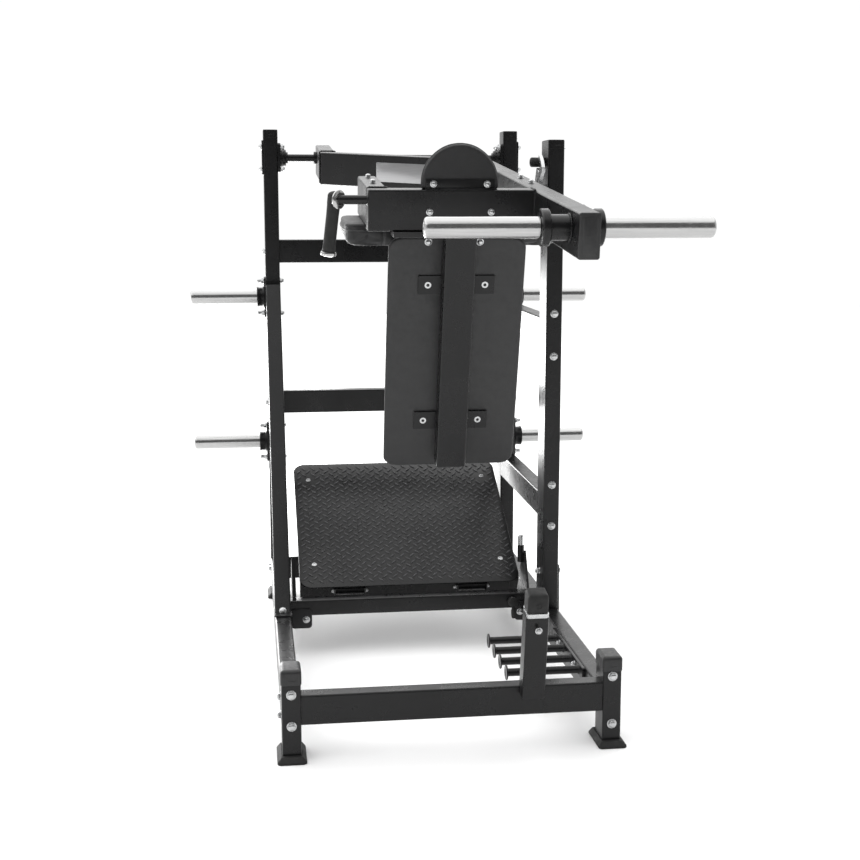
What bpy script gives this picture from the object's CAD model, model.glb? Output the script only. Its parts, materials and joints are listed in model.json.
"""Looks of the plate-loaded pendulum squat machine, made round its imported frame, in metres, +Z up.

Painted tubes are smooth-shaded copies of their CAD nodes. Turned, moulded, upholstered and pressed pieces are
made here from rounded outlines and turned profiles, in the arm's, the platform's or the machine's own frame.
"""

import json
import math

import bmesh
import bpy
from mathutils import Matrix, Vector
from mathutils.bvhtree import BVHTree

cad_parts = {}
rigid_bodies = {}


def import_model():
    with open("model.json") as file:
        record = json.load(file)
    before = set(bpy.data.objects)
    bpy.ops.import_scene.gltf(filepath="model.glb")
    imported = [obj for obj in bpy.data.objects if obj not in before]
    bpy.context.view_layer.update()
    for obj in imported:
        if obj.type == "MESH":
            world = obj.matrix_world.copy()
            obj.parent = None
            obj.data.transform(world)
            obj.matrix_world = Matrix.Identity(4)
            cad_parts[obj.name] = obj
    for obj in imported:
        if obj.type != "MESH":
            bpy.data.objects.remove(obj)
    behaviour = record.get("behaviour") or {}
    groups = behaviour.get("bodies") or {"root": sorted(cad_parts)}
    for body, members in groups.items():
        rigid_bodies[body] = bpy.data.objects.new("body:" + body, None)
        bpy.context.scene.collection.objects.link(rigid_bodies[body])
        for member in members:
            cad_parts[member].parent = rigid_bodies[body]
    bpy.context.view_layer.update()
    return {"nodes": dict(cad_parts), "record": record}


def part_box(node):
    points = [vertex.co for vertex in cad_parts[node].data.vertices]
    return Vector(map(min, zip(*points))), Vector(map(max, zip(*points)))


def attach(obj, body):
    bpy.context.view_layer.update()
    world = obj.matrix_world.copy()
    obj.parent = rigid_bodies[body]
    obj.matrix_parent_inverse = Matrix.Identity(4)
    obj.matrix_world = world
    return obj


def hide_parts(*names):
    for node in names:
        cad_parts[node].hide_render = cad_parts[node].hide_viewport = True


for old in list(bpy.data.objects):
    bpy.data.objects.remove(old)

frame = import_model()
RECORD = frame["record"]
BODY_OF = {node: body for body, nodes in RECORD["behaviour"]["bodies"].items() for node in nodes}
SLOT_OF = {entry["node"]: entry["material_slot"] for entry in RECORD["subparts"]}
JOINT_AT = {joint["name"]: joint.get("pos_m") for joint in RECORD["behaviour"]["joints"]}


def middle(node):
    low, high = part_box(node)
    return (low + high) / 2


# Frames and sizes of the CAD model
FRONT_Y = middle("front_post_left").y
POST_X = middle("front_post_right").x
TUBE = 0.05
TUBE_DEEP = 0.08
ARM_DEEP = 0.104
BEAM_TOP = 0.04
ARM_MIDDLE_Z = BEAM_TOP - ARM_DEEP / 2
ARM_UNDER = BEAM_TOP - ARM_DEEP
ARM_RISE = math.radians(6.46)
PLATE_TILT = math.radians(27.7)
BACK_TILT = math.radians(16.0)
STOP_LEAN = math.radians(10.0)
BEAM_X = middle("arm_beam").x
BEAM_NEAR = -1.94
BEAM_FAR = 0.06
ARM_X = 0.031
YOKE_NEAR = -1.46
SIDE_ARM_X = middle("side_arm_left").x
SIDE_ARM_FAR = -1.101
STUB_X = middle("pivot_stub").x
STUB_NEAR = -0.23
CATCH_FACE_Y = 0.72
BEAM_FACE_Y = 0.835
TREAD_RISE = 0.018
HINGE_X = 0.2
HANDLE_REACH = 0.085
HANDLE_HEIGHTS = {"left": 0.014, "right": -0.01}
GRIP_CROWNS = {"left": 0.02, "right": 0.004}
GRIP_FEET = {"left": 0.004, "right": 0.026}
SMALL_HEAD = {"across": 0.0125, "washer": 0.009}
GAP = 0.0003
SIDES = (("left", -1.0), ("right", 1.0))
NEAR, FAR, UP = (0, -1, 0), (0, 1, 0), (0, 0, 1)
ARM = Matrix.Translation(JOINT_AT["arm_pivot"]) @ Matrix.Rotation(ARM_RISE, 4, "X")
PLATFORM = Matrix.Translation(JOINT_AT["platform_tilt"]) @ Matrix.Rotation(PLATE_TILT, 4, "X")
SIDE_ON = Matrix(((0, 0, 1, 0), (1, 0, 0, 0), (0, 1, 0, 0), (0, 0, 0, 1)))
TURNED_OVER = Matrix.Rotation(math.pi, 4, "X")


def machine(x, y, z):
    """A point whose Y is measured from the middle of the front posts."""
    return Vector((x, FRONT_Y + y, z))


def shift(x=0.0, y=0.0, z=0.0):
    return Matrix.Translation((x, y, z))


def at(point, direction=UP, base=Matrix.Identity(4)):
    """A frame at a point of base, with its Z along direction."""
    return base @ shift(*point) @ Vector(direction).to_track_quat("Z", "Y").to_matrix().to_4x4()


def standing(node):
    """A frame at the middle of a node's underside, and the node's size."""
    low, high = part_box(node)
    centre = (low + high) / 2
    return shift(centre.x, centre.y, low.z), high - low


def outward(node, sign):
    """For a node that is round about X: a frame at its inner end looking out, its length and its radius."""
    low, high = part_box(node)
    centre = (low + high) / 2
    inner = low.x if sign > 0 else high.x
    return at((inner, centre.y, centre.z), (sign, 0, 0)), high.x - low.x, (high.z - low.z) / 2


def link(name, data):
    obj = bpy.data.objects.new(name, data)
    bpy.context.scene.collection.objects.link(obj)
    return obj


# ---------------------------------------------------------------- materials


def set_range(node, *limits):
    for socket, limit in zip(("From Min", "From Max", "To Min", "To Max"), limits):
        node.inputs[socket].default_value = limit


class Surface:
    """A Principled material, with the steps that its procedural detail is built from."""

    def __init__(self, name, colour, roughness, metallic=0.0, **sockets):
        self.material = bpy.data.materials.new(name)
        self.material.use_nodes = True
        self.material.diffuse_color = (*colour, 1.0)
        self.tree = self.material.node_tree
        self.shader = self.tree.nodes["Principled BSDF"]
        self.shader.inputs["Base Color"].default_value = (*colour, 1.0)
        self.shader.inputs["Roughness"].default_value = roughness
        self.shader.inputs["Metallic"].default_value = metallic
        for socket, value in sockets.items():
            self.shader.inputs[socket.replace("_", " ")].default_value = value
        self.place = self.tree.nodes.new("ShaderNodeTexCoord").outputs["Object"]
        self.normal = None

    def node(self, kind, links, **settings):
        """A new node, with links from other steps' outputs into its inputs."""
        node = self.tree.nodes.new(kind)
        for name, value in settings.items():
            setattr(node, name, value)
        for socket, value in links.items():
            self.tree.links.new(value, node.inputs[socket])
        return node

    def noise(self, scale, detail=3.0, stretch=(1, 1, 1), roughness=0.5):
        mapping = self.node("ShaderNodeMapping", {"Vector": self.place})
        mapping.inputs["Scale"].default_value = stretch
        texture = self.node("ShaderNodeTexNoise", {"Vector": mapping.outputs["Vector"]})
        for socket, value in (("Scale", scale), ("Detail", detail), ("Roughness", roughness)):
            texture.inputs[socket].default_value = value
        return texture.outputs["Fac"]

    def cells(self, scale, feature="F1"):
        texture = self.node("ShaderNodeTexVoronoi", {"Vector": self.place}, feature=feature)
        texture.inputs["Scale"].default_value = scale
        return texture.outputs["Distance"]

    def edges(self, radius):
        """1 on edges rounder than the flat faces, 0 elsewhere."""
        rounded = self.node("ShaderNodeBevel", {}, samples=4)
        rounded.inputs["Radius"].default_value = radius
        sides = {0: rounded.outputs["Normal"], 1: self.node("ShaderNodeNewGeometry", {}).outputs["Normal"]}
        product = self.node("ShaderNodeVectorMath", sides, operation="DOT_PRODUCT")
        return self.scaled(product.outputs["Value"], 0.97, 0.8, 0.0, 1.0)

    def scaled(self, value, *limits):
        """The value's first two limits brought to the last two."""
        scale = self.node("ShaderNodeMapRange", {"Value": value})
        set_range(scale, *limits)
        return scale.outputs["Result"]

    def colours(self, value, low, high):
        """From low, a colour or another step's output, to the colour high."""
        blend = self.node("ShaderNodeMix", {"Factor": value}, data_type="RGBA")
        blend.inputs["B"].default_value = (*high, 1.0)
        if isinstance(low, tuple):
            blend.inputs["A"].default_value = (*low, 1.0)
        else:
            self.tree.links.new(low, blend.inputs["A"])
        return blend.outputs["Result"]

    def use(self, socket, value):
        self.tree.links.new(value, self.shader.inputs[socket])

    def bump(self, height, distance, strength=1.0):
        """Adds relief of about distance metres over what is there already."""
        node = self.node("ShaderNodeBump", {"Height": height})
        node.inputs["Strength"].default_value = strength
        node.inputs["Distance"].default_value = distance
        if self.normal:
            self.tree.links.new(self.normal, node.inputs["Normal"])
        self.normal = node.outputs["Normal"]
        self.use("Normal", self.normal)


def powder_coat(name, tone, worn=0.35):
    """Black powder coat: orange peel, slow sheen changes, fine scuffs and edges rubbed a little lighter."""
    coat = Surface(name, (tone, tone, tone * 1.05), 0.3, Specular_IOR_Level=0.27)
    dark = (tone * 0.75, tone * 0.75, tone * 0.79)
    pale = (tone * 1.4, tone * 1.4, tone * 1.47)
    scuffs = coat.scaled(coat.noise(38.0, 8.0, (1.0, 6.0, 0.7), 0.7), 0.66, 0.8, 0.0, 0.35)
    paint = coat.colours(scuffs, coat.colours(coat.noise(9.0, 5.0), dark, pale), (tone * 3.4,) * 3)
    patches = coat.scaled(coat.noise(30.0, 6.0), 0.42, 0.62, 0.0, worn)
    rubbed = coat.node("ShaderNodeMath", {0: coat.edges(0.003), 1: patches}, operation="MULTIPLY")
    coat.use("Base Color", coat.colours(rubbed.outputs["Value"], paint, (0.085, 0.085, 0.088)))
    coat.use("Roughness", coat.scaled(coat.noise(14.0, 6.0, (1, 1, 1), 0.62), 0.3, 0.7, 0.23, 0.36))
    coat.bump(coat.noise(520.0, 2.0), 0.0001)
    coat.bump(coat.noise(45.0, 2.0), 0.00014)
    return coat.material


def grained_vinyl():
    """Black upholstery vinyl: pebbled grain with finer pores, and slow wrinkles that catch the light."""
    vinyl = Surface("grained_vinyl", (0.014, 0.014, 0.015), 0.47, Specular_IOR_Level=0.45)
    vinyl.use("Base Color", vinyl.colours(vinyl.cells(520.0), (0.012, 0.012, 0.0125), (0.007, 0.007, 0.0075)))
    vinyl.use("Roughness", vinyl.scaled(vinyl.noise(24.0, 6.0), 0.3, 0.7, 0.4, 0.55))
    vinyl.bump(vinyl.scaled(vinyl.cells(520.0, "DISTANCE_TO_EDGE"), 0.0, 0.14, 0.0, 1.0), 0.00012)
    vinyl.bump(vinyl.noise(1500.0, 3.0), 0.00005)
    vinyl.bump(vinyl.noise(16.0, 3.0), 0.0009, 0.6)
    return vinyl.material


def finish(name, colour, roughness, gloss, relief, tint=(), metallic=0.0, **sockets):
    """A material from textures, each given as its Surface step and that step's settings.

    gloss holds a texture and the limits that make it a roughness, relief a list of textures and their heights,
    and tint a texture and its two colours.
    """
    surface = Surface(name, colour, roughness, metallic, **sockets)

    def texture(step, *settings):
        return getattr(surface, step)(*settings)

    if tint:
        surface.use("Base Color", surface.colours(texture(*tint[0]), *tint[1:]))
    surface.use("Roughness", surface.scaled(texture(*gloss[0]), *gloss[1:]))
    for source, height in relief:
        surface.bump(texture(*source), height)
    return surface.material


# Ground and chromed bar: lengthwise grinding lines, and faint clouded rings worn in by plates
GRINDING = ("noise", 260.0, 3.0, (0.03, 1.0, 1.0))
RINGS = ("noise", 55.0, 4.0, (1.0, 0.05, 0.05), 0.7)
CHROME = finish(
    "sleeve_chrome", (0.4, 0.4, 0.4), 0.22, (RINGS, 0.3, 0.7, 0.15, 0.27), [(GRINDING, 0.00003), (RINGS, 0.00002)],
    (GRINDING, (0.32, 0.32, 0.32), (0.48, 0.48, 0.475)), 1.0,
)
# Bright zinc plate with a soft mottle and small tool marks
ZINC = finish(
    "zinc_plate", (0.46, 0.47, 0.48), 0.24, (("cells", 420.0), 0.0, 0.8, 0.16, 0.32),
    [(("noise", 700.0, 2.0), 0.00004)], (("noise", 160.0, 5.0), (0.36, 0.37, 0.38), (0.56, 0.56, 0.555)), 1.0,
)
# Matt black rubber with a sanded mould skin and dusty high spots
RUBBER = finish(
    "moulded_rubber", (0.018, 0.018, 0.018), 0.68, (("noise", 60.0, 5.0), 0.3, 0.7, 0.58, 0.78),
    [(("noise", 900.0, 4.0), 0.0001)], (("noise", 22.0, 6.0), (0.008, 0.008, 0.008), (0.019, 0.019, 0.0185)),
    Specular_IOR_Level=0.35,
)
# Injection-moulded black plastic with a spark-eroded texture
PLASTIC = finish(
    "textured_plastic", (0.02, 0.02, 0.021), 0.44, (("noise", 90.0, 4.0), 0.3, 0.7, 0.36, 0.52),
    [(("cells", 1100.0), 0.00006)], (("noise", 30.0, 5.0), (0.009, 0.009, 0.0095), (0.017, 0.017, 0.0175)),
    Specular_IOR_Level=0.45,
)
# Brushed aluminium of the blank nameplate
BRUSHING = ("noise", 420.0, 3.0, (0.05, 0.05, 1.0))
NAMEPLATE = finish(
    "brushed_plate", (0.42, 0.42, 0.43), 0.38, (BRUSHING, 0.3, 0.7, 0.28, 0.42), [(BRUSHING, 0.00003)],
    (BRUSHING, (0.34, 0.34, 0.35), (0.5, 0.5, 0.5)), 0.8,
)
# The satin black cord sewn into the upholstery seams
WELT = finish(
    "welt_vinyl", (0.02, 0.02, 0.021), 0.42, (("noise", 200.0, 4.0), 0.3, 0.7, 0.34, 0.5),
    [(("cells", 900.0), 0.00006)], Specular_IOR_Level=0.5,
)
WORN_COAT = powder_coat("worn_powder_coat", 0.042, 0.9)
MATERIALS = {
    "frame_paint": powder_coat("frame_powder_coat", 0.0065),
    "arm_paint": powder_coat("arm_powder_coat", 0.0065),
    "platform_paint": powder_coat("platform_powder_coat", 0.005, 0.6),
    "chrome": CHROME,
    "zinc_steel": ZINC,
    "black_rubber": RUBBER,
    "black_vinyl": grained_vinyl(),
    "cap_plastic": PLASTIC,
}


# ---------------------------------------------------------------- outlines and solids


def steps_to(last, count, first=0.0):
    """Angles in radians, from first to last in degrees."""
    return [math.radians(first + (last - first) * i / count) for i in range(count + 1)]


def arc(centre, radius, first, last, steps):
    turns = steps_to(last, steps, first)
    return [(centre[0] + radius * math.cos(a), centre[1] + radius * math.sin(a)) for a in turns]


def round_turns(steps):
    return [2 * math.pi * i / steps for i in range(steps)]


def circle(radius):
    turns = round_turns(28)
    return lambda inset: [((radius - inset) * math.cos(a), (radius - inset) * math.sin(a)) for a in turns]


def rectangle(width, height, corner, steps=5):
    def outline(inset):
        radius = max(corner - inset, 0.0004)
        x, y = width / 2 - inset - radius, height / 2 - inset - radius
        corners = (((x, y), 0), ((-x, y), 90), ((-x, -y), 180), ((x, -y), 270))
        return [point for centre, turn in corners for point in arc(centre, radius, turn, turn + 90, steps)]

    return outline


def hexagon(across):
    return lambda inset: arc((0, 0), (across / 2 - inset) / math.cos(math.pi / 6), 0, 300, 5)


def half_round(radius, rise, steps=36):
    def outline(inset):
        size = radius - inset
        return [(size, inset), *arc((0, max(rise - radius, 0.002)), size, 0, 180, steps), (-size, inset)]

    return outline


def polygon(points):
    """A convex outline given by its corners; an inset draws it in towards its middle."""
    centre = Vector([sum(axis) / len(points) for axis in zip(*points)])
    return lambda inset: [Vector(point) + (centre - Vector(point)).normalized() * inset for point in points]


def loft(shape, rings, closed=False):
    """Joins rings of equal length with faces. The row of rings runs into itself, or its ends are filled."""
    rows = [[shape.verts.new(point) for point in ring] for ring in rings]
    count = len(rows[0])
    for low, high in zip(rows, rows[1:] + rows[:1] if closed else rows[1:]):
        for i in range(count):
            j = (i + 1) % count
            shape.faces.new((low[i], low[j], high[j], high[i]))
    if not closed:
        shape.faces.new(list(reversed(rows[0])))
        shape.faces.new(rows[-1])


def stack(shape, outline, levels, place):
    """A solid through an outline's insets at their heights: levels holds (inset, height)."""
    loft(shape, [[place @ Vector((x, y, height)) for x, y in outline(inset)] for inset, height in levels])


def slab(shape, outline, depth, place, bottom=0.0, top=0.0, steps=4):
    """An outline made depth thick along the frame's Z, with rounded rims."""
    turns = [math.pi / 2 * i / steps for i in range(steps + 1)]
    low = [(bottom * (1 - math.sin(a)), bottom * (1 - math.cos(a))) for a in turns] if bottom else [(0, 0)]
    high = [(top * (1 - math.sin(a)), depth - top * (1 - math.cos(a))) for a in reversed(turns)]
    stack(shape, outline, low + (high if top else [(0, depth)]), place)


def turned(shape, profile, place, steps=40):
    """A turned solid: profile holds (radius, height), from one end to the other."""
    turns = round_turns(steps)
    loft(shape, [[place @ Vector((r * math.cos(a), r * math.sin(a), z)) for a in turns] for r, z in profile])


def round_tip(radius, length, corner, steps):
    """The rounded rim at the far end of a turned bar."""
    turns = steps_to(90, steps)
    return [(radius - corner * (1 - math.cos(a)), length - corner * (1 - math.sin(a))) for a in turns]


def swept(shape, points, radius, up, closed=False, steps=12, ripple=0.0):
    """A round bar along points. up is a direction that the bar never points along."""
    points, up = [Vector(p) for p in points], Vector(up)
    rings = []
    for i, point in enumerate(points):
        before = points[i - 1] if closed or i else point
        after = points[(i + 1) % len(points)] if closed or i + 1 < len(points) else point
        along = (after - before).normalized()
        side = along.cross(up).normalized()
        top = side.cross(along)
        size = radius * (1 + ripple * math.sin(i * 1.9))
        rings.append([point + (side * math.cos(a) + top * math.sin(a)) * size for a in round_turns(steps)])
    loft(shape, rings, closed)


def new_mesh(name, shape):
    bmesh.ops.recalc_face_normals(shape, faces=shape.faces)
    mesh = bpy.data.meshes.new(name)
    shape.to_mesh(mesh)
    shape.free()
    return mesh


def piece(name, shape, body, slot="", replaces=(), material=None, sharp=38.0):
    """Makes the built shape an object that rides on a body. Its finish is a slot's, or else its body's paint."""
    slot = slot or f"{body}_paint"
    mesh = new_mesh(name, shape)
    mesh.shade_smooth()
    mesh.set_sharp_from_angle(angle=math.radians(sharp))
    mesh.materials.append(material or MATERIALS[slot])
    obj = link(name, mesh)
    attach(obj, body)
    if replaces:
        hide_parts(*replaces)
    return obj


def slab_piece(name, body, outline, depth, place, slot="", bottom=0.0, top=0.0, steps=4, **finish):
    shape = bmesh.new()
    slab(shape, outline, depth, place, bottom, top, steps)
    piece(name, shape, body, slot, **finish)


def turned_piece(name, body, profile, place, slot="", steps=40, **finish):
    shape = bmesh.new()
    turned(shape, profile, place, steps)
    piece(name, shape, body, slot, **finish)


def smooth_copy(node, suffix):
    """A copy of a CAD node with its facets welded and its rolled corners shaded round."""
    shape = bmesh.new()
    shape.from_mesh(frame["nodes"][node].data)
    bmesh.ops.remove_doubles(shape, verts=shape.verts, dist=0.00002)
    bmesh.ops.dissolve_limit(shape, angle_limit=math.radians(0.6), verts=shape.verts, edges=shape.edges)
    obj = piece(f"{node}_{suffix}", shape, BODY_OF[node], SLOT_OF[node], (node,), sharp=50.0)
    obj.modifiers.new("flat_faces", "WEIGHTED_NORMAL").keep_sharp = True


# ---------------------------------------------------------------- hardware


def hex_head(shape, place, across, washer, height):
    """A plain washer on the frame's XY plane, with a hexagon on it."""
    slab(shape, circle(washer), 0.0018, place, top=0.0006, steps=2)
    slab(shape, hexagon(across), height, place @ shift(z=0.0018), top=0.0014, steps=3)


def hex_bolt(shape, place, across=0.016, washer=0.0115):
    """A domed hex head on a plain washer."""
    hex_head(shape, place, across, washer, 0.0062)
    dome = [(across * 0.46 * math.cos(a), 0.0058 + 0.0026 * math.sin(a)) for a in (0.0, 0.35, 0.7, 1.05, 1.4)]
    turned(shape, dome, place @ shift(z=0.0018), 24)


def lock_nut(shape, place, across=0.016):
    """A nut on its washer with the bolt's end standing out of it."""
    hex_head(shape, place, across, 0.0115, 0.008)
    turned(shape, [(0.0062, 0.009), (0.0062, 0.0125), (0.0046, 0.014), (0.0042, 0.014)], place, 24)


def stud_nut(shape, place):
    """A nut and washer well down a long threaded stud."""
    lock_nut(shape, place)
    turned(shape, [(0.0058, 0.012), (0.0058, 0.0215), (0.0044, 0.023), (0.002, 0.0232)], place, 24)


def socket_screw(shape, place, radius=0.0085):
    """A flat countersunk screw with its hexagon socket."""
    profile = [(radius, 0.0), (radius, 0.0006), (radius - 0.0008, 0.0014), (0.0042, 0.0016), (0.0036, 0.0006)]
    turned(shape, profile, place, 28)


def bolts(name, body, points, direction=None, kind=hex_bolt, **sizes):
    """Fasteners at points, standing along direction. Without a direction, the points are whole frames."""
    shape = bmesh.new()
    for point in points:
        kind(shape, at(point, direction) if direction else point, **sizes)
    piece(name, shape, body, "zinc_steel")


def end_plug(name, body, place, width, height):
    """A moulded plug closing a tube's end, with a raised rim, a dished middle and a pry slot."""
    corner, rise = 0.006, 0.0025
    shape = bmesh.new()
    slab(shape, rectangle(width - 0.001, height - 0.001, corner), rise, place, top=0.0014, steps=3)
    boss = place @ shift(z=rise - 0.0004)
    slab(shape, rectangle(width - 0.016, height - 0.016, corner), 0.0009, boss, top=0.0007, steps=2)
    slab(shape, rectangle(0.014, 0.0028, 0.001, 3), 0.001, boss @ shift(z=0.0006), top=0.0005, steps=2)
    piece(name, shape, body, "cap_plastic")


def weld_bead(name, path, place, radius):
    """A rippled weld along a closed path in the frame's XY plane."""
    shape = bmesh.new()
    swept(shape, [place @ point for point in path], radius, place.to_3x3().col[2], True, 8, 0.16)
    piece(name, shape, "arm", sharp=70.0)


def tube_weld(name, place, width, height):
    """A weld bead round the end of a tube."""
    corners = [Vector((x, y, 0)) for x, y in rectangle(width, height, 0.006, 4)(0.0)]
    path = []
    for start, end in zip(corners, corners[1:] + corners[:1]):
        count = max(1, round((end - start).length / 0.0022))
        path += [start.lerp(end, i / count) for i in range(count)]
    weld_bead(name, path, place, 0.0028)


# ---------------------------------------------------------------- soft goods


def settle(obj, voxel, limit):
    """Swells a pad as cloth over foam. Points on the board side stay put, and none moves more than limit."""
    frames = 20
    remesh = obj.modifiers.new("remesh", "REMESH")
    remesh.mode = "VOXEL"
    remesh.voxel_size = voxel
    bake_modifiers(obj)
    start = [vertex.co.copy() for vertex in obj.data.vertices]
    board = obj.vertex_groups.new(name="board")
    board.add([i for i, co in enumerate(start) if co.z < voxel], 1.0, "REPLACE")
    cloth = obj.modifiers.new("cloth", "CLOTH")
    settings = cloth.settings
    settings.quality = 6
    settings.mass = 0.25
    settings.tension_stiffness = 22.0
    settings.compression_stiffness = 22.0
    settings.bending_stiffness = 1.2
    settings.use_pressure = True
    settings.uniform_pressure_force = 4.0
    settings.vertex_group_mass = "board"
    settings.effector_weights.gravity = 0.0
    cloth.point_cache.frame_end = frames
    for number in range(1, frames + 1):
        bpy.context.scene.frame_set(number)
    bake_modifiers(obj)
    bpy.context.scene.frame_set(1)
    for vertex, co in zip(obj.data.vertices, start):
        moved = vertex.co - co
        if moved.length > limit:
            vertex.co = co + moved.normalized() * limit
        vertex.co.z = max(vertex.co.z, 0.0)
    rounded = obj.modifiers.new("rounded", "SUBSURF")
    rounded.levels = 1
    rounded.render_levels = 1
    bake_modifiers(obj)


def bake_modifiers(obj):
    graph = bpy.context.evaluated_depsgraph_get()
    mesh = bpy.data.meshes.new_from_object(obj.evaluated_get(graph))
    obj.modifiers.clear()
    obj.data = mesh


def crowned(obj, centre, half_width, half_length, depth, crown):
    """Raises the padded face in the middle and lets its sides pull in between the corners."""
    for vertex in obj.data.vertices:
        x, y = (vertex.co.x - centre[0]) / half_width, (vertex.co.y - centre[1]) / half_length
        height = min(max(vertex.co.z / depth, 0.0), 1.0)
        swell = max(0.0, 1 - x * x) * max(0.0, 1 - y * y)
        vertex.co.z += crown * swell * height
        waist = 1 - 0.01 * math.sin(math.pi * height) * (1 - abs(abs(x) - abs(y)))
        vertex.co.x = centre[0] + (vertex.co.x - centre[0]) * waist
        vertex.co.y = centre[1] + (vertex.co.y - centre[1]) * waist


def pressed_seam(obj, position):
    """Draws the cover in along a seam that crosses the pad at an X."""
    depth, width = 0.0016, 0.0032
    for vertex in obj.data.vertices:
        distance = (vertex.co.x - position) / width
        vertex.co -= vertex.normal * depth * math.exp(-distance * distance)


def girdle(tree, centre, axis, start, steps, spacing):
    """A closed path round a pad, in the plane through centre across axis, with points spacing apart."""
    path = []
    for a in round_turns(steps):
        ray = Matrix.Rotation(a, 3, Vector(axis)) @ Vector(start)
        hit = tree.ray_cast(Vector(centre) + ray, -ray, 1.0)[0]
        if hit:
            path.append(hit)
    spaced, carried = [], 0.0
    for point, following in zip(path, path[1:] + path[:1]):
        length = (following - point).length
        while carried < length:
            spaced.append(point.lerp(following, carried / length))
            carried += spacing
        carried -= length
    return spaced


def cushion(name, node, outline, size, place, crown, limit, voxel, edge, seams=()):
    """One upholstered pad: a swollen vinyl cover on its board, a welt round its side, and sewn seams across X."""
    width, length, depth = size
    shape = bmesh.new()
    slab(shape, outline, depth, Matrix.Identity(4), 0.004, edge, 5)
    pad = link(name, new_mesh(name, shape))
    settle(pad, voxel, limit)
    points = [v.co.copy() for v in pad.data.vertices]
    centre = [(min(p[i] for p in points) + max(p[i] for p in points)) / 2 for i in (0, 1)]
    crowned(pad, centre, width / 2, length / 2, depth, crown)
    for x in seams:
        pressed_seam(pad, x)
    points = [v.co.copy() for v in pad.data.vertices]
    tree = BVHTree.FromPolygons(points, [tuple(p.vertices) for p in pad.data.polygons])
    body, slot = BODY_OF[node], SLOT_OF[node]
    across, _, normal = place.to_3x3().col
    shape = bmesh.new()
    ring = girdle(tree, (*centre, depth * 0.3), UP, (1, 0, 0), 240, 0.004)
    swept(shape, [place @ p for p in ring], 0.0022, normal, True, 10)
    for x in seams:
        centre_point = Vector((x, centre[1], depth * 0.5))
        path = girdle(tree, centre_point, (1, 0, 0), UP, 200, 0.004)
        path = [place @ (p - (p - centre_point).normalized() * 0.0006) for p in path]
        swept(shape, path, 0.0012, across, True, 8)
    piece(f"{name}_welt", shape, body, slot, material=WELT)
    if seams:
        shape = bmesh.new()
        for row in (x + offset for x in seams for offset in (-0.0045, 0.0045)):
            path = girdle(tree, (row, centre[1], depth * 0.5), (1, 0, 0), UP, 200, 0.0025)
            stitch_row(shape, path, place, across)
        piece(f"{name}_stitches", shape, body, slot, material=WELT)
    pad.data.transform(place)
    pad.data.materials.clear()
    pad.data.materials.append(MATERIALS[slot])
    pad.data.shade_smooth()
    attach(pad, body)
    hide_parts(node)


def stitch_row(shape, path, place, across):
    """Every other step of a path as a stitch."""
    for i in range(0, len(path) - 1, 2):
        swept(shape, [place @ path[i], place @ path[i].lerp(path[i + 1], 0.75)], 0.0005, across, steps=6)


def make_pads():
    forward = Vector((0, math.cos(BACK_TILT), math.sin(BACK_TILT)))
    place = shift(*(middle("back_pad") - forward * 0.03)) @ Matrix.Rotation(BACK_TILT - math.pi / 2, 4, "X")
    size = (0.366, 0.656, 0.05)
    cushion("back_pad_cover", "back_pad", rectangle(*size[:2], 0.034, 6), size, place, 0.004, 0.007, 0.006, 0.018)
    board = rectangle(0.352, 0.642, 0.03, 6)
    slab_piece("back_pad_board", "arm", board, 0.0016, place @ shift(z=-0.0002), "cap_plastic", 0.0008)
    size = (0.155, 0.2, 0.054)
    for side, sign in SIDES:
        node = f"shoulder_pad_{side}"
        x, y, _ = ARM.inverted() @ middle(node)
        place = ARM @ shift(x, y, ARM_UNDER - GAP) @ TURNED_OVER
        outline = rectangle(*size[:2], 0.026, 6)
        cushion(f"{node}_cover", node, outline, size, place, 0.003, 0.005, 0.0045, 0.013, [sign * -0.022])
    turn = Matrix.Rotation(math.pi, 4, "Z") @ Matrix.Rotation(math.pi / 2, 4, "X")
    place = ARM @ shift(ARM_X - 0.005, YOKE_NEAR + 0.01, BEAM_TOP + GAP) @ turn
    size = (0.194, 0.112, 0.035)
    cushion("head_pad_cover", "head_pad", half_round(0.097, 0.112), size, place, 0.002, 0.004, 0.0045, 0.009)


# ---------------------------------------------------------------- base frame


def make_foot(node):
    """A moulded boot: a flat skirt on the floor that slopes up round the tube's foot."""
    place, (width, length, height) = standing(node)
    skirt = [(0.0015, 0.0), (0.0, 0.0015), (0.0, 0.0055), (0.0015, 0.0075)]
    shape = bmesh.new()
    stack(shape, rectangle(width, length, 0.01, 4), [*skirt, (0.0085, height - 0.002), (0.0105, height)], place)
    piece(f"{node}_boot", shape, "frame", "black_rubber", (node,))


def make_post_cap(node):
    """The moulded cap that slips over a front post, with a rounded crown and a pry slot."""
    place, (width, length, height) = standing(node)
    shape = bmesh.new()
    slab(shape, rectangle(width, length, 0.008), height, place, 0.001, 0.01, 6)
    face = at((0, -length / 2, height * 0.28), NEAR, place)
    slab(shape, rectangle(0.02, 0.0035, 0.0012, 3), 0.0006, face, top=0.0004, steps=2)
    piece(f"{node}_moulding", shape, "frame", "cap_plastic", (node,))


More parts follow.
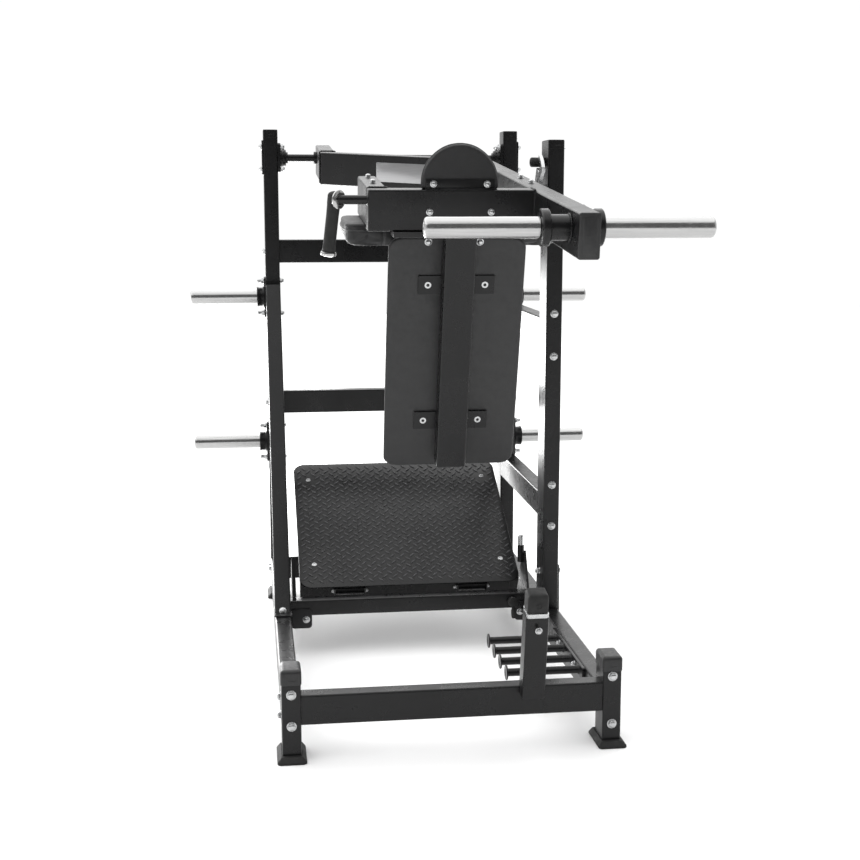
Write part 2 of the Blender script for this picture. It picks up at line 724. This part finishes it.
def make_peg(which, sign):
    """A storage peg with its collar and bolted plate."""
    node, mount = f"storage_peg_{which}", f"peg_mount_{which}"
    place, length, radius = outward(node, sign)
    bar = [(radius - 0.001, 0), (radius, 0.001), *round_tip(radius, length, 0.011, 6)]
    bar += [(0.01, length), (0.0085, length - 0.001)]
    turned_piece(f"{node}_bar", "frame", bar, place, "chrome", 56, replaces=(node,))
    base = outward(mount, sign)[0]
    shape = bmesh.new()
    slab(shape, rectangle(0.06, 0.14, 0.01), 0.006, base, top=0.001)
    collar = [(0.036, 0.006), (0.036, 0.009), (0.033, 0.011), (0.033, 0.024), (0.0345, 0.026), (0.0345, 0.03)]
    turned(shape, [*collar, (0.033, 0.031), (radius + GAP, 0.031), (radius + GAP, 0.028)], base, 48)
    piece(f"{mount}_casting", shape, "frame", replaces=(mount,))
    face, y, z = base.translation
    outer = [(face + sign * 0.006, y, z + rise) for rise in (-0.057, 0.057)]
    bolts(f"{mount}_bolts", "frame", outer, (sign, 0, 0), stud_nut)
    inner = [(sign * (POST_X - TUBE / 2), y, z + rise) for rise in (-0.057, 0.057)]
    bolts(f"{mount}_nuts", "frame", inner, (-sign, 0, 0), lock_nut, across=0.014)


def make_bearing(node, sign):
    """A four-bolt flange bearing on its upright, with a backing plate and through bolts."""
    base = outward(node, -sign)[0]
    face, y, z = base.translation
    shape = bmesh.new()
    slab(shape, rectangle(0.072, 0.1, 0.012), 0.009, base, top=0.002)
    hub = [(0.032, 0.008), (0.031, 0.014), (0.0285, 0.017), (0.0285, 0.026), (0.027, 0.028), (0.02, 0.029)]
    turned(shape, [*hub, (0.02, 0.034), (0.0188, 0.0345), (0.0135, 0.0345), (0.0135, 0.03)], base, 48)
    piece(f"{node}_casting", shape, "frame", replaces=(node,))
    nipple = [(0.0035, 0), (0.0035, 0.004), (0.0022, 0.006), (0.0028, 0.008), (0.0016, 0.01)]
    top = at((face - sign * 0.02, y, z + 0.0275))
    turned_piece(f"{node}_grease_nipple", "frame", nipple, top, "zinc_steel", 16)
    spots = [(y + dy, z + dz) for dy in (-0.025, 0.025) for dz in (-0.038, 0.038)]
    inner = [(face - sign * 0.009, *spot) for spot in spots]
    bolts(f"{node}_nuts", "frame", inner, (-sign, 0, 0), lock_nut, across=0.014)
    outer = sign * (POST_X + TUBE / 2 + 0.0002)
    backing = at((outer, y, z), (sign, 0, 0))
    slab_piece(f"{node}_backing_plate", "frame", rectangle(0.074, 0.118, 0.008), 0.005, backing, top=0.001)
    bolts(f"{node}_bolts", "frame", [(outer + sign * 0.005, *spot) for spot in spots], (sign, 0, 0), across=0.014)


def cap_mark(name, point):
    """The pry slot of a slip-over cap, with the cap's seam below it."""
    place = at(point, NEAR)
    shape = bmesh.new()
    slab(shape, rectangle(0.016, 0.003, 0.001, 3), 0.0008, place, top=0.0004, steps=2)
    slab(shape, rectangle(TUBE - 0.004, 0.0012, 0.0004, 2), 0.0006, place @ shift(y=-0.01))
    piece(name, shape, "frame", "black_rubber")


def make_base():
    for side, sign in SIDES:
        x, upright = sign * POST_X, f"rear_upright_{side}"
        make_foot(f"foot_front_{side}")
        make_foot(f"foot_rear_{side}")
        make_post_cap(f"front_post_cap_{side}")
        make_bearing(f"pivot_bearing_{side}", sign)
        make_peg(f"lower_{side}", sign)
        make_peg(f"upper_{side}", sign)
        low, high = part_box(upright)
        end_plug(f"rear_upright_plug_{side}", "frame", shift(x, middle(upright).y, high.z), TUBE, TUBE_DEEP)
        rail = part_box(f"base_rail_{side}")[1]
        rail_end = at((x, rail.y, rail.z - TUBE_DEEP / 2), FAR)
        end_plug(f"base_rail_plug_{side}", "frame", rail_end, TUBE, TUBE_DEEP)
        cap_mark(f"rear_upright_mark_{side}", (x + 0.003, low.y, high.z - 0.014))
    low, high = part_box("catch_upright")
    cap_mark("catch_upright_mark", (POST_X + 0.004, low.y, high.z - 0.014))
    end_plug("catch_upright_plug", "frame", shift(POST_X, (low.y + high.y) / 2, high.z), TUBE, high.y - low.y)
    post_bolts = {"left": (0.18, 0.096), "right": (0.192, 0.062)}
    rear_y = middle("rear_beam").y
    for side, sign in SIDES:
        points = [machine(sign * POST_X, -TUBE_DEEP / 2, z) for z in post_bolts[side]]
        bolts(f"front_post_bolts_{side}", "frame", points, NEAR, across=0.019, washer=0.013)
        face, away = sign * (POST_X + TUBE / 2), (sign, 0, 0)
        bolts(f"front_beam_bolts_{side}", "frame", [machine(face, 0.012, z) for z in (0.11, 0.16)], away)
        for name in ("rear_beam", "back_tie_lower", "back_tie_upper"):
            points = [(face, rear_y + dy, middle(name).z) for dy in (-0.02, 0.02)]
            bolts(f"{name}_bolts_{side}", "frame", points, away)
    points = [machine(POST_X, CATCH_FACE_Y, z) for z in (1.084, 0.953, 0.55, 0.419)]
    bolts("catch_upright_bolts", "frame", points, NEAR, across=0.018, washer=0.0125)
    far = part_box("rear_upright_right")[1].y
    bolts("side_tie_bolts", "frame", [(POST_X, far, z) for z in (1.06, 0.99, 0.505, 0.445)], FAR)


def make_catch_foot():
    """The bolted fish plate on the outside of the catch upright's foot."""
    outer = POST_X + TUBE / 2 + 0.0002
    plate = polygon([(0.735, 0.085), (0.835, 0.085), (0.835, 0.15), (0.8, 0.285), (0.745, 0.285)])
    slab_piece("catch_foot_plate", "frame", plate, 0.008, shift(outer, FRONT_Y) @ SIDE_ON, top=0.001)
    points = [machine(outer + 0.008, y, z) for y, z in ((0.77, 0.262), (0.76, 0.11), (0.812, 0.11))]
    bolts("catch_foot_bolts", "frame", points, (1, 0, 0))
    bolts("catch_foot_nut", "frame", [machine(POST_X - TUBE / 2, 0.77, 0.262)], (-1, 0, 0), lock_nut)


def make_brace_ends():
    """The bolts and end plates of the slanted strut, on the left rail and on the left upright."""
    along = Vector((0, 0.6, 0.9)).normalized()
    out = Vector((0, -along.z, along.y))
    foot_bolt = machine(-POST_X, 0.8, 0.15) - along * 0.006 + out * 0.025
    bolts("brace_foot_bolt", "frame", [foot_bolt], out, across=0.018)
    foot = shift(*machine(-POST_X, 0.792, 0.1504))
    slab_piece("brace_foot_plate", "frame", rectangle(0.056, 0.108, 0.006), 0.004, foot, top=0.001)
    head = machine(-POST_X, 1.4646, 1.088)
    slab_piece("brace_head_plate", "frame", rectangle(0.052, 0.13, 0.004), 0.005, at(head, NEAR), top=0.001)
    bolts("brace_head_bolt", "frame", [head + Vector((0.001, -0.005, 0.014))], NEAR, across=0.018)


def make_stop():
    """The rubber bumper on its steel plate, and the stop post's bolt and hole."""
    base = shift(*middle("stop_bumper")) @ Matrix.Rotation(STOP_LEAN, 4, "X") @ shift(z=-0.032)
    plate = rectangle(0.057, 0.055, 0.006)
    slab_piece("stop_bumper_plate", "frame", plate, 0.012, base, "zinc_steel", 0.001, 0.001, 2)
    levels = [(0.001, 0.0125), (0.0, 0.014), (0.0, 0.052), (0.0012, 0.058), (0.0035, 0.062), (0.007, 0.0636)]
    shape = bmesh.new()
    stack(shape, rectangle(0.054, 0.053, 0.007, 6), [*levels, (0.014, 0.064)], base)
    eye = [(0.0085, 0.0), (0.0085, 0.0008), (0.006, 0.0012), (0.0052, -0.004), (0.001, -0.0042)]
    turned(shape, eye, at((0.002, -0.0263, 0.032), NEAR, base), 32)
    piece("stop_bumper_block", shape, "frame", "black_rubber", ("stop_bumper",))
    post = base @ shift(y=-0.025)
    bolt = at((0.004, 0, -0.036), NEAR, post)
    bolts("stop_post_bolt", "frame", [bolt], across=0.013, washer=0.0095)
    eye = [(0.0065, 0.0), (0.0065, 0.0006), (0.005, 0.0008), (0.0045, -0.002), (0.001, -0.002)]
    turned_piece("stop_post_grommet", "frame", eye, at((-0.002, 0, -0.02), NEAR, post), "black_rubber", 28)


def make_band_pegs():
    """Four turned pegs with rolled end discs, on a bolted flat bar inside the right rail."""
    low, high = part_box("band_pegs")
    face, length, z = high.x, high.x - low.x, (low.z + high.z) / 2
    inward = (-1, 0, 0)
    shape = bmesh.new()
    slab(shape, rectangle(0.38, 0.036, 0.006), 0.008, at(machine(face, 0.345, z), inward), top=0.0012)
    bar = [(0.015, 0.007), (0.0125, 0.011), (0.011, 0.013), (0.011, length - 0.007), (0.0125, length - 0.0055)]
    disc = [(0.0195, length - 0.0045), (0.021, length - 0.0035), (0.021, length - 0.0012), (0.02, length)]
    profile = [*bar, *disc, (0.012, length), (0.01, length - 0.001)]
    for y in (0.2, 0.295, 0.39, 0.485):
        turned(shape, profile, at(machine(face, y, z), inward), 36)
    piece("band_pegs_rack", shape, "frame", replaces=("band_pegs",))
    points = [machine(face - 0.008, y, z) for y in (0.2475, 0.4375)]
    bolts("band_pegs_bolts", "frame", points, inward, across=0.013, washer=0.01)


def make_catch_peg():
    """The rubber sleeve of the peg that the hook holds, with the screw in its end."""
    place, length, radius = outward("catch_peg", -1.0)
    sleeve = [(radius - 0.001, 0.0), (radius, 0.002), (radius, length - 0.004), (radius - 0.002, length - 0.001)]
    sleeve += [(radius - 0.004, length), (0.0065, length), (0.006, length - 0.002)]
    turned_piece("catch_peg_sleeve", "frame", sleeve, place, "black_rubber", replaces=("catch_peg",))
    bolts("catch_peg_bolt", "frame", [place @ shift(z=length - 0.004)], kind=socket_screw, radius=0.0058)


# ---------------------------------------------------------------- platform


def under_tread(x, y):
    """A frame on the underside of the tread plate, looking down."""
    return PLATFORM @ shift(x, y, TREAD_RISE - GAP) @ TURNED_OVER


def make_tread():
    """The tread plate with its screws, and the rails, flanks and ribs under it."""
    width, length, thickness = 0.72, 0.64, 0.006
    corner = PLATFORM @ shift(0, length / 2 - 0.006, TREAD_RISE)
    outline = rectangle(width, length, 0.04, 8)
    slab_piece("platform_tread_plate", "platform", outline, thickness - 0.0012, corner, "", 0.0008, 0.001,
               replaces=("platform_plate",), sharp=45.0)
    screws = [(sign * 0.31, y) for sign in (-1, 1) for y in (0.11 - length / 2, length / 2 - 0.09)]
    make_tread_pattern(corner @ shift(z=thickness - 0.0014), width, length, screws)
    places = [corner @ shift(x, y, thickness - 0.0013) for x, y in screws]
    bolts("platform_screws", "platform", places, kind=socket_screw)
    rail = rectangle(0.664, 0.03, 0.002)
    slab_piece("platform_near_rail", "platform", rail, 0.06, under_tread(0, 0.0335), top=0.002)
    outline = polygon([(0.015, 0.0), (0.33, 0.0), (0.06, -0.07), (0.022, -0.074)])
    for side, sign in SIDES:
        flank = PLATFORM @ shift(sign * 0.345 - 0.014, 0, TREAD_RISE - GAP) @ SIDE_ON
        slab_piece(f"platform_flank_{side}", "platform", outline, 0.028, flank, top=0.0008)
    for i, x in enumerate((-0.24, 0.0, 0.24)):
        rib = rectangle(0.03, 0.44, 0.004)
        slab_piece(f"platform_rib_{i + 1}", "platform", rib, 0.026, under_tread(x, 0.325), top=0.003)
    far_bar = rectangle(0.56, 0.03, 0.004)
    slab_piece("platform_far_bar", "platform", far_bar, 0.028, under_tread(0, 0.56), top=0.003)


def make_tread_pattern(top, width, length, screws):
    """Raised lozenges that lean left and right by turns, clear of the plate's edges and screws."""
    pitch = 0.023
    reach = int((width + length) / pitch / 2)
    shape = bmesh.new()
    for i in range(-reach, reach + 1):
        for j in range(-reach, reach + 1):
            x, y = (i - j) * pitch * math.sqrt(0.5), (i + j) * pitch * math.sqrt(0.5)
            if abs(x) > width / 2 - 0.014 or abs(y) > length / 2 - 0.014:
                continue
            past_corner = math.hypot(max(abs(x) - width / 2 + 0.05, 0), max(abs(y) - length / 2 + 0.05, 0))
            if past_corner > 0.04 or min(math.dist((x, y), screw) for screw in screws) < 0.02:
                continue
            lean = math.radians(45 if (i + j) % 2 else -45)
            lozenge(shape, top @ shift(x, y) @ Matrix.Rotation(lean, 4, "Z"))
    piece("platform_tread_pattern", shape, "platform", material=WORN_COAT, sharp=45.0)


def lozenge(shape, place):
    """One raised, pointed lozenge with a soft crest."""
    length, width, height = 0.026, 0.0066, 0.0024
    rings = []
    for share, z in ((1.0, 0.0), (0.9, height * 0.55), (0.62, height * 0.95), (0.3, height)):
        reach, half = length / 2 * (0.35 + 0.65 * share), width / 2 * share
        points = []
        for i, a in enumerate(steps_to(330, 11)):
            x = reach * math.cos(a)
            side = 1 if i < 6 else -1
            points.append(place @ Vector((x, side * half * (1 - (x / reach) ** 2), z)))
        rings.append(points)
    loft(shape, rings)


def make_hinges():
    """Hinge lugs on the platform beam, with the pins' heads."""
    hinge = JOINT_AT["platform_tilt"]
    lug = polygon([(-0.03, -0.03), (0.006, -0.03), (0.013, -0.014), (0.012, 0.01), (0, 0.016), (-0.014, 0.008)])
    for side, sign in SIDES:
        centre = shift(sign * HINGE_X, *hinge[1:])
        shape = bmesh.new()
        for offset in (-0.0505, 0.0465):
            slab(shape, lug, 0.004, centre @ shift(offset) @ SIDE_ON, 0.0006, 0.0006, 2)
        piece(f"hinge_lugs_{side}", shape, "frame")
        places = [at((dx, 0, 0), (dx, 0, 0), centre) for dx in (-0.0505, 0.0505)]
        bolts(f"hinge_pin_{side}", "frame", places, across=0.011, washer=0.0085)


def make_platform_ends():
    """The left quadrant plate, the beam's end brackets, and the beam pin's knob and handle."""
    corner = (-0.012, 0.012)
    place = shift(-0.387, FRONT_Y + 0.86, 0.147) @ SIDE_ON
    outline = polygon([corner, *arc(corner, 0.15, 8, 62, 10)])
    slab_piece("quadrant_left", "frame", outline, 0.012, place, top=0.0008, steps=2)
    shape = bmesh.new()
    for x, y in arc(corner, 0.132, 14, 56, 10)[1::2]:
        mark = at(place @ Vector((x, y, 0.012)), (1, 0, 0))
        turned(shape, [(0.0062, -0.001), (0.0062, 0.0004), (0.005, 0.0006), (0.0048, -0.001)], mark, 20)
    piece("quadrant_left_stations", shape, "frame", "zinc_steel")
    for side, sign in SIDES:
        plate = at(machine(sign * 0.3605, BEAM_FACE_Y - 0.0002, 0.1145), NEAR)
        slab_piece(f"beam_bracket_{side}", "frame", rectangle(0.067, 0.063, 0.012), 0.006, plate, top=0.001)
        bolts(f"beam_bracket_bolt_{side}", "frame", [machine(sign * 0.345, BEAM_FACE_Y - 0.0062, 0.112)], NEAR)
    x, y, z = middle("beam_pin").x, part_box("beam_pin")[0].y, middle("beam_pin").z
    knob = [(0.015, 0.0), (0.016, 0.0015), (0.016, 0.006), (0.013, 0.0085), (0.005, 0.0095)]
    turned_piece("beam_pin_knob", "beam_pin", knob, at((x, y - 0.001, z), NEAR), "black_rubber", 36)
    handle = [(0.0045, 0.0), (0.005, 0.01), (0.0075, 0.013), (0.008, 0.036), (0.006, 0.04), (0.001, 0.041)]
    drop = at((x, y - 0.006, z - 0.012), (0.1, 0, -1))
    turned_piece("beam_pin_handle", "beam_pin", handle, drop, "black_rubber", 28)


# ---------------------------------------------------------------- arm


def make_sleeve(side, sign):
    """A loading sleeve, and its neck with the plate-stop flange and the weld at its root."""
    node = f"loading_sleeve_{side}"
    place, length, radius = outward(node, sign)
    bar = [(radius - 0.001, 0.0), (radius, 0.001), *round_tip(radius, length, 0.01, 7)]
    bar += [(0.0125, length), (0.0115, length - 0.0012), (0.004, length - 0.0016), (0.003, length - 0.004)]
    turned_piece(f"{node}_bar", "arm", bar, place, "chrome", 64, replaces=(node,))
    node = f"sleeve_root_{side}"
    place, length, outer = outward(node, sign)
    neck = max(length - 0.021, 0.001)
    profile = [(0.03, 0.0), (0.03, neck), (0.0405, neck + 0.0005), (outer, neck + 0.003), (outer, length - 0.003)]
    profile += [(outer - 0.002, length - 0.0008), (outer - 0.004, length), (0.026, length)]
    turned_piece(f"{node}_collar", "arm", profile, place, steps=64, replaces=(node,))
    if neck > 0.02:
        path = [Vector((0.031 * math.cos(a), 0.031 * math.sin(a), 0.0015)) for a in steps_to(357, 119)]
        weld_bead(f"{node}_weld", path, place, 0.0022)


def make_handle(side, sign):
    """A bar out of the yoke, a flared ring where it meets the upright grip, and a chrome cap under the grip."""
    face = ARM_X + sign * (0.235 + GAP)
    knee, y, z = face + sign * HANDLE_REACH, YOKE_NEAR + 0.024, HANDLE_HEIGHTS[side]
    bottom = Vector((knee + sign * 0.015, y, z - 0.135))
    top = Vector((knee, y, z))
    drop = (bottom - top).normalized()
    away = Vector((sign * 0.72, 0.69, 0))
    elbow = top - away * 0.016
    start = Vector((face, elbow.y, z))
    bend = [elbow - Vector((sign * 0.012, 0, 0)), elbow, elbow + away * 0.01]
    curve = [bend[0].lerp(bend[1], t).lerp(bend[1].lerp(bend[2], t), t) for t in (0, 0.25, 0.5, 0.75, 1)]
    shape = bmesh.new()
    swept(shape, [ARM @ p for p in (start, *curve)], 0.0115, UP, steps=28)
    hub = [(0.0155, 0.0), (0.0155, 0.003), (0.014, 0.0045), (0.0115, 0.005)]
    turned(shape, hub, at(start, (sign, 0, 0), ARM), 40)
    piece(f"handle_{side}_bar", shape, "arm", replaces=(f"handle_{side}",))
    if side == "left":
        flare = [(0.012, 0.0), (0.0215, 0.0), (0.024, 0.0018), (0.0246, 0.004), (0.0235, 0.0062)]
        ring = at(top - away * 0.0185, away, ARM)
        turned_piece(f"handle_{side}_ring", "arm", [*flare, (0.015, 0.01)], ring, "chrome", 44)
    crown = top - drop * GRIP_CROWNS[side]
    length = (bottom - crown).length - GRIP_FEET[side] + 0.001
    grip = [(0.0172 * math.sin(a), 0.012 - 0.012 * math.cos(a)) for a in steps_to(90, 7, 8)]
    grip += [(0.0172, 0.03), (0.0166, 0.034), (0.016, 0.06), (0.016, length - 0.03), (0.0168, length - 0.01)]
    grip += [(0.0168, length - 0.001), (0.0155, length)]
    turned_piece(f"grip_{side}_sleeve", "arm", grip, at(crown, drop, ARM), "black_rubber", 44,
                 replaces=(f"grip_{side}",), sharp=60.0)
    cap = [(0.016, 0.0), (0.0192, 0.0004), (0.02, 0.0025), (0.02, 0.007), (0.0186, 0.01), (0.012, 0.0118)]
    foot = at(bottom - drop * GRIP_FEET[side], drop, ARM)
    turned_piece(f"grip_{side}_end_cap", "arm", cap, foot, "chrome", 44)


def make_shaft():
    """The pivot shaft, with a collar on each side of the two tubes that it passes through."""
    place, length, radius = outward("pivot_shaft", 1.0)
    bar = [(radius - 0.001, 0.0), (radius, 0.001), (radius, length - 0.001), (radius - 0.001, length)]
    turned_piece("pivot_shaft_bar", "arm", bar, place, steps=48, replaces=("pivot_shaft",))
    collar = [(0.022, 0.0), (0.022, 0.008), (0.0205, 0.0095), (0.0131, 0.0095), (0.0131, 0.004)]
    for tube, x in (("stub", STUB_X), ("beam", BEAM_X)):
        for side, sign in SIDES:
            ring = at((x + sign * 0.0255, 0, 0), (sign, 0, 0), ARM)
            turned_piece(f"shaft_collar_{tube}_{side}", "arm", collar, ring)


def make_arm_details():
    """Plugs, bolts and welds of the arm's tubes, and the plate that the back pad hangs from."""
    half = TUBE / 2
    ends = {
        "arm_beam_plug_near": ((BEAM_X, BEAM_NEAR, ARM_MIDDLE_Z), NEAR),
        "arm_beam_plug_far": ((BEAM_X, BEAM_FAR, ARM_MIDDLE_Z), FAR),
        "pivot_stub_plug": ((STUB_X, BEAM_FAR, ARM_MIDDLE_Z), FAR),
        "side_arm_plug": ((SIDE_ARM_X, SIDE_ARM_FAR, ARM_MIDDLE_Z), FAR),
        "yoke_plug": ((ARM_X - 0.235, YOKE_NEAR + half, ARM_MIDDLE_Z), (-1, 0, 0)),
    }
    for name, (point, direction) in ends.items():
        end_plug(name, "arm", upright_frame(point, direction), TUBE, ARM_DEEP)
    places = [at((x, YOKE_NEAR, -0.015), NEAR, ARM) for x in (-0.052, 0.105)]
    bolts("yoke_bolts", "arm", places, **SMALL_HEAD)
    for side, x in (("left", SIDE_ARM_X), ("right", BEAM_X)):
        places = [at((x, y, BEAM_TOP), UP, ARM) for y in (-1.141, -1.285)]
        bolts(f"shoulder_pad_bolts_{side}", "arm", places, **SMALL_HEAD)
    welds = {
        "yoke_beam_weld": ((BEAM_X - half, YOKE_NEAR + half, ARM_MIDDLE_Z), (1, 0, 0)),
        "side_arm_weld": ((SIDE_ARM_X, YOKE_NEAR + TUBE, ARM_MIDDLE_Z), FAR),
        "stub_weld": ((STUB_X, STUB_NEAR, ARM_MIDDLE_Z), FAR),
    }
    for name, (point, direction) in welds.items():
        tube_weld(name, upright_frame(point, direction), TUBE + 0.002, ARM_DEEP + 0.002)
    hanger = ARM @ shift(ARM_X, YOKE_NEAR + 0.026, ARM_UNDER - GAP) @ TURNED_OVER
    slab_piece("back_pad_hanger", "arm", rectangle(0.35, 0.07, 0.01), 0.014, hanger, top=0.002)
    make_nameplate()
    make_head_bracket()


def upright_frame(point, direction):
    """A frame in the arm with its Z along a level direction and its Y up."""
    z_axis, y_axis = Vector(direction), Vector(UP)
    turn = Matrix((y_axis.cross(z_axis), y_axis, z_axis)).transposed().to_4x4()
    return ARM @ shift(*point) @ turn


def make_nameplate():
    """A blank brushed plate, riveted to the near face of the diagonal."""
    start, end = Vector((STUB_X - 0.019, STUB_NEAR - 0.025, 0)), Vector((BEAM_X, -0.513, 0))
    run = (end - start).normalized()
    normal = Vector((run.y, -run.x, 0))
    centre = start.lerp(end, 0.545) + normal * 0.0252
    centre.z = -0.014
    place = upright_frame(centre, normal)
    shape = bmesh.new()
    slab(shape, rectangle(0.2, 0.062, 0.004), 0.0014, place, top=0.0006, steps=2)
    slab(shape, rectangle(0.188, 0.05, 0.003), 0.0018, place, top=0.0005, steps=2)
    piece("nameplate_blank", shape, "arm", "zinc_steel", material=NAMEPLATE)
    rivet = [(0.0026, 0.001), (0.0026, 0.002), (0.0018, 0.0028), (0.0006, 0.0031)]
    shape = bmesh.new()
    for x in (-0.095, 0.095):
        turned(shape, rivet, place @ shift(x), 16)
    piece("nameplate_rivets", shape, "arm", "zinc_steel")


def make_head_bracket():
    """The folded bracket that holds the head pad on the yoke, with its two bolts."""
    x, front = ARM_X - 0.005, YOKE_NEAR + 0.0098
    shape = bmesh.new()
    face = upright_frame((x, front, BEAM_TOP + 0.013), NEAR)
    slab(shape, rectangle(0.176, 0.026, 0.004), 0.003, face, top=0.0008, steps=2)
    foot = ARM @ shift(x, front - 0.0045, BEAM_TOP + 0.0002)
    slab(shape, rectangle(0.176, 0.009, 0.002), 0.003, foot, top=0.0008, steps=2)
    piece("head_pad_bracket", shape, "arm")
    places = [at((x + dx, front - 0.003, BEAM_TOP + 0.014), NEAR, ARM) for dx in (-0.068, 0.068)]
    bolts("head_pad_bolts", "arm", places, **SMALL_HEAD)


def make_back_details():
    """Screws through the two flat bars, the flange bolts at the top, and the plug in the tube's foot."""
    forward = Vector((0, math.cos(BACK_TILT), math.sin(BACK_TILT)))
    down = Vector((0, math.sin(BACK_TILT), -math.cos(BACK_TILT)))
    top = middle("back_pad") - forward * 0.03 - down * 0.335
    points = []
    for distance in (0.135, 0.522):
        for dx in (-0.075, 0.075):
            _, y, z = top + down * distance - forward * 0.0054
            points.append((ARM_X + dx, y, z))
    bolts("back_bar_screws", "arm", points, -forward, socket_screw, radius=0.0095)
    _, y, z = top + down * 0.02 - forward * 0.0002
    points = [(ARM_X - 0.077, y, z), (ARM_X + 0.057, y, z)]
    bolts("back_pad_top_bolts", "arm", points, -forward, across=0.014, washer=0.01)
    _, y, z = top + down * 0.64 - forward * 0.0302
    place = shift(ARM_X, y, z) @ down.to_track_quat("Z", "X").to_matrix().to_4x4()
    end_plug("back_tube_plug", "arm", place, TUBE, TUBE_DEEP)


def make_hook_details():
    """The nut on the end of the hook's pivot."""
    _, y, z = JOINT_AT["catch_hook_swing"]
    end = (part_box("catch_hook")[1].x, y, z)
    bolts("catch_hook_nut", "hook", [end], (1, 0, 0), lock_nut, across=0.017)


# ---------------------------------------------------------------- stage


def make_stage():
    mesh = bpy.data.meshes.new("floor")
    shape = bmesh.new()
    bmesh.ops.create_grid(shape, x_segments=1, y_segments=1, size=14.0)
    shape.to_mesh(mesh)
    shape.free()
    paper = Surface("floor_paper", (0.94, 0.94, 0.94), 0.8, Specular_IOR_Level=0.1)
    paper.use("Base Color", paper.colours(paper.noise(3.0, 4.0), (0.93, 0.93, 0.93), (0.95, 0.95, 0.95)))
    mesh.materials.append(paper.material)
    link("floor", mesh)
    make_room()
    box = bpy.data.lights.new("left_light", "AREA")
    box.shape = "RECTANGLE"
    box.size, box.size_y = 2.8, 0.9
    box.energy = 85.0
    left = link("left_light", box)
    left.location = (-1.3, 3.0, 0.55)
    left.rotation_euler = (Vector((-0.1, 0.2, 0.15)) - left.location).to_track_quat("-Z", "Y").to_euler()
    overhead = bpy.data.lights.new("overhead_light", "SUN")
    overhead.energy = 3.0
    overhead.angle = math.radians(120.0)
    link("overhead_light", overhead).rotation_euler = (math.radians(-14.0), math.radians(-10.0), 0.0)


def make_room():
    """A white room that lights the machine less from the near side than from the far side."""
    world = bpy.data.worlds.new("studio")
    bpy.context.scene.world = world
    world.use_nodes = True
    nodes, links = world.node_tree.nodes, world.node_tree.links
    background = nodes["Background"]
    direction = nodes.new("ShaderNodeTexCoord").outputs["Generated"]
    parts = nodes.new("ShaderNodeSeparateXYZ")
    links.new(direction, parts.inputs["Vector"])
    dim = nodes.new("ShaderNodeMapRange")
    dim.interpolation_type = "SMOOTHSTEP"
    set_range(dim, -0.75, 0.15, 0.2, 1.02)
    links.new(parts.outputs["Y"], dim.inputs["Value"])
    seen = nodes.new("ShaderNodeMix")
    links.new(nodes.new("ShaderNodeLightPath").outputs["Is Camera Ray"], seen.inputs["Factor"])
    links.new(dim.outputs["Result"], seen.inputs["A"])
    seen.inputs["B"].default_value = 1.02
    links.new(seen.outputs["Result"], background.inputs["Strength"])
    background.inputs["Color"].default_value = (1.0, 1.0, 1.0, 1.0)


def make_camera():
    data = bpy.data.cameras.new("camera")
    data.sensor_width = 36.0
    data.lens = 57.77
    camera = link("camera", data)
    camera.location = machine(-0.508, -3.417, 1.412)
    camera.rotation_euler = (math.radians(90.0 - 9.26), 0.0, math.radians(-7.5))
    bpy.context.scene.camera = camera


TUBES = (
    "front_post_left", "front_post_right", "front_beam", "rear_beam", "base_rail_left", "base_rail_right",
    "rear_upright_left", "rear_upright_right", "catch_upright", "side_tie_lower", "side_tie_upper",
    "back_tie_lower", "back_tie_upper", "brace_left", "stop_post", "platform_beam", "arm_beam", "pivot_stub",
    "diagonal_beam", "yoke", "side_arm_left", "back_tube",
)
FITTINGS = ("platform_frame", "catch_hook", "tilt_pin", "beam_pin")

make_camera()
make_stage()
for tube in TUBES:
    smooth_copy(tube, "tube")
for fitting in FITTINGS:
    smooth_copy(fitting, "body")
make_base()
make_catch_foot()
make_brace_ends()
make_stop()
make_band_pegs()
make_catch_peg()
make_tread()
make_hinges()
make_platform_ends()
for arm_side, arm_sign in SIDES:
    make_sleeve(arm_side, arm_sign)
    make_handle(arm_side, arm_sign)
make_shaft()
make_arm_details()
make_back_details()
make_hook_details()
make_pads()

bpy.context.scene.view_settings.view_transform = "Standard"
bpy.context.view_layer.update()
